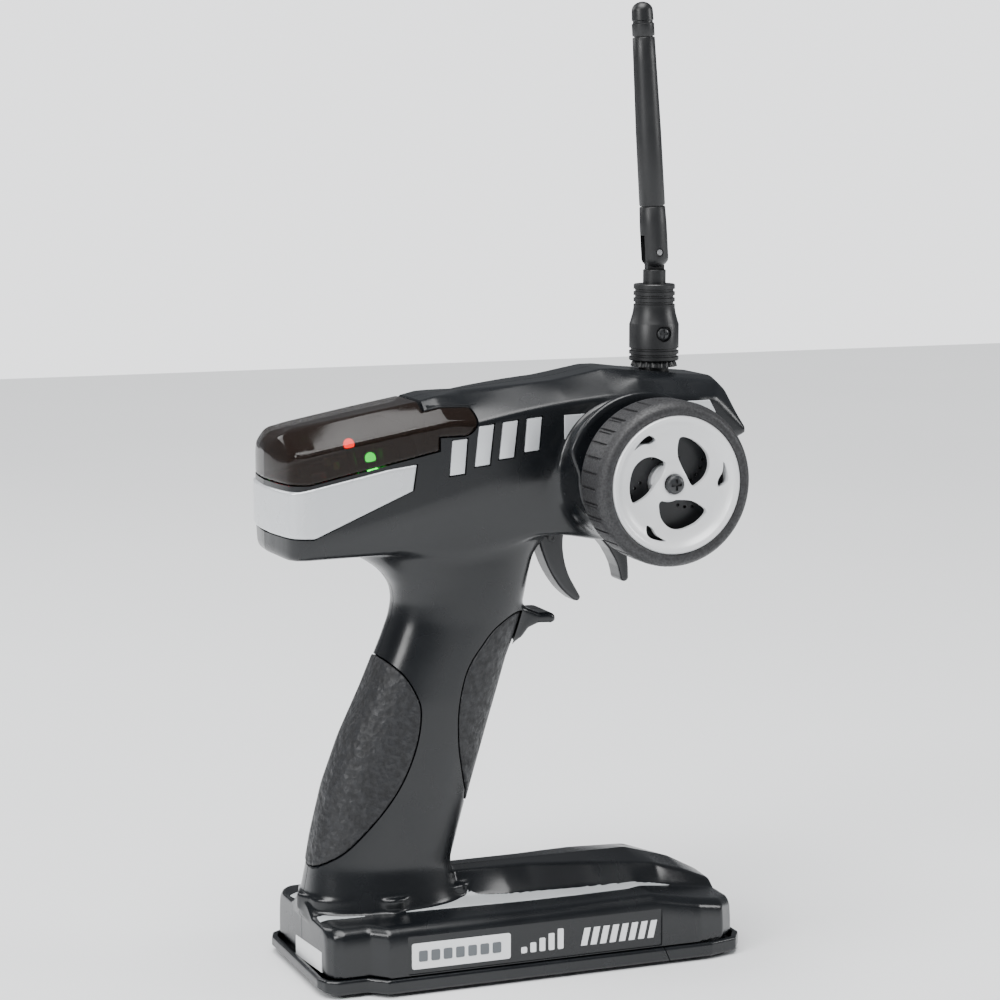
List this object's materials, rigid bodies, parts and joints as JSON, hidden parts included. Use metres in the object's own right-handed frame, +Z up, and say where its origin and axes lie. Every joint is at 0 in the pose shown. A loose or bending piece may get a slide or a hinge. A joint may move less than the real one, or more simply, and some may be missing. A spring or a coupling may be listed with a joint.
{
  "type": "radio transmitter",
  "caption": "Pistol-grip radio control transmitter with a side steering wheel, throttle trigger, smoked flip cover, battery base and folding antenna.",
  "frame": {"origin": "centre of the battery base at table level, on the middle plane of the housing", "axes": "+Z up, +X forwards towards the antenna's end, +Y to the user's left; the steering wheel is at -Y"},
  "size_m": [0.1613, 0.0989, 0.315],
  "materials": {
    "black_plastic": "satin, slightly blue black",
    "dark_grey_plastic": "matt",
    "silver_paint": "satin silver paint on plastic",
    "smoked_cover": "clear smoked brown",
    "rubber": "fine grained",
    "tyre_rubber": "matt foam rubber",
    "steel": "turned",
    "brass": "sprung sheet",
    "circuit_board": "green laminate",
    "battery_wrap": null,
    "white_plastic": "satin",
    "red_lens": "clear red",
    "green_lens": "clear green"
  },
  "bodies": {
    "housing": {"antenna_socket": "black_plastic", "base_front_plate": "black_plastic", "battery_cell_1": "battery_wrap", "battery_cell_2": "battery_wrap", "battery_cell_3": "battery_wrap", "battery_cell_4": "battery_wrap", "battery_cell_5": "battery_wrap", "battery_cell_6": "battery_wrap", "battery_cell_7": "battery_wrap", "battery_cell_8": "battery_wrap", "battery_contacts_left": "brass", "battery_contacts_right": "brass", "battery_holder": "black_plastic", "body_half_left": "black_plastic", "body_half_right": "black_plastic", "body_screw_1": "steel", "body_screw_2": "steel", "body_screw_3": "steel", "charge_jack": "black_plastic", "circuit_board": "circuit_board", "control_panel": "black_plastic", "foot_3": "rubber", "foot_4": "rubber", "gill_trim_left": "silver_paint", "gill_trim_right": "silver_paint", "grip_insert_front": "rubber", "grip_insert_rear": "rubber", "power_lamp": "red_lens", "side_label": "white_plastic", "silver_band": "silver_paint", "status_lamp": "green_lens", "steering_bush": "white_plastic", "steering_potentiometer": "steel", "steering_spring": "steel", "throttle_potentiometer": "black_plastic", "trigger_guard": "black_plastic", "trigger_pin": "steel", "trigger_spring": "steel"},
    "steering_wheel": {"wheel_rim": "silver_paint", "tyre": "tyre_rubber", "brake_disc": "dark_grey_plastic", "steering_shaft": "steel", "wheel_screw": "dark_grey_plastic"},
    "throttle_trigger": {"trigger": "dark_grey_plastic"},
    "cover": {"flip_cover": "smoked_cover"},
    "antenna_base": {"antenna_swivel": "black_plastic", "antenna_hinge_pin": "steel"},
    "antenna": {"antenna_knuckle": "black_plastic", "antenna_mast": "rubber", "antenna_cap": "rubber"},
    "steering_trim": {"steering_trim_knob": "black_plastic"},
    "throttle_trim": {"throttle_trim_knob": "black_plastic"},
    "dual_rate": {"dual_rate_knob": "black_plastic"},
    "steering_reverse": {"steering_reverse_switch": "white_plastic"},
    "throttle_reverse": {"throttle_reverse_switch": "white_plastic"},
    "power": {"power_switch": "black_plastic"},
    "bind": {"bind_button": "white_plastic"},
    "door": {"battery_door": "black_plastic", "foot_1": "rubber", "foot_2": "rubber"}
  },
  "joints": [
    {"name": "steering_turn", "type": "hinge", "parent": "housing", "child": "steering_wheel", "pos_m": [0.0334, 0, 0.164], "axis": [0, -1, 0], "range_deg": [-35, 35], "stiffness_Nm_per_rad": 0.08},
    {"name": "trigger_pull", "type": "hinge", "parent": "housing", "child": "throttle_trigger", "pos_m": [0.0173, 0, 0.1476], "axis": [0, 1, 0], "range_deg": [-12, 18], "stiffness_Nm_per_rad": 0.06},
    {"name": "cover_hinge", "type": "hinge", "parent": "housing", "child": "cover", "pos_m": [-0.023, 0, 0.1828], "axis": [0, 1, 0], "range_deg": [0, 95]},
    {"name": "antenna_turn", "type": "hinge", "parent": "housing", "child": "antenna_base", "pos_m": [0.0535, 0, 0.2], "axis": [0, 0, 1], "range_deg": [-170, 170]},
    {"name": "antenna_fold", "type": "hinge", "parent": "antenna_base", "child": "antenna", "pos_m": [0.0535, 0, 0.2332], "axis": [0, -1, 0], "range_deg": [0, 85]},
    {"name": "steering_trim_turn", "type": "hinge", "parent": "housing", "child": "steering_trim", "pos_m": [-0.04411, -0.011, 0.16814], "axis": [-0.1908, 0, 0.9816], "range_deg": [-140, 140]},
    {"name": "throttle_trim_turn", "type": "hinge", "parent": "housing", "child": "throttle_trim", "pos_m": [-0.04411, 0, 0.16814], "axis": [-0.1908, 0, 0.9816], "range_deg": [-140, 140]},
    {"name": "dual_rate_turn", "type": "hinge", "parent": "housing", "child": "dual_rate", "pos_m": [-0.04411, 0.011, 0.16814], "axis": [-0.1908, 0, 0.9816], "range_deg": [-140, 140]},
    {"name": "steering_reverse_slide", "type": "slide", "parent": "housing", "child": "steering_reverse", "axis": [0.9816, 0, 0.1908], "range_m": [0, 0.0026]},
    {"name": "throttle_reverse_slide", "type": "slide", "parent": "housing", "child": "throttle_reverse", "axis": [0.9816, 0, 0.1908], "range_m": [0, 0.0026]},
    {"name": "power_slide", "type": "slide", "parent": "housing", "child": "power", "axis": [0, 1, 0], "range_m": [0, 0.004]},
    {"name": "bind_press", "type": "slide", "parent": "housing", "child": "bind", "axis": [0.1908, 0, -0.9816], "range_m": [0, 0.0012], "stiffness_N_per_m": 150},
    {"name": "door_slide", "type": "slide", "parent": "housing", "child": "door", "axis": [-1, 0, 0], "range_m": [0, 0.012]}
  ]
}
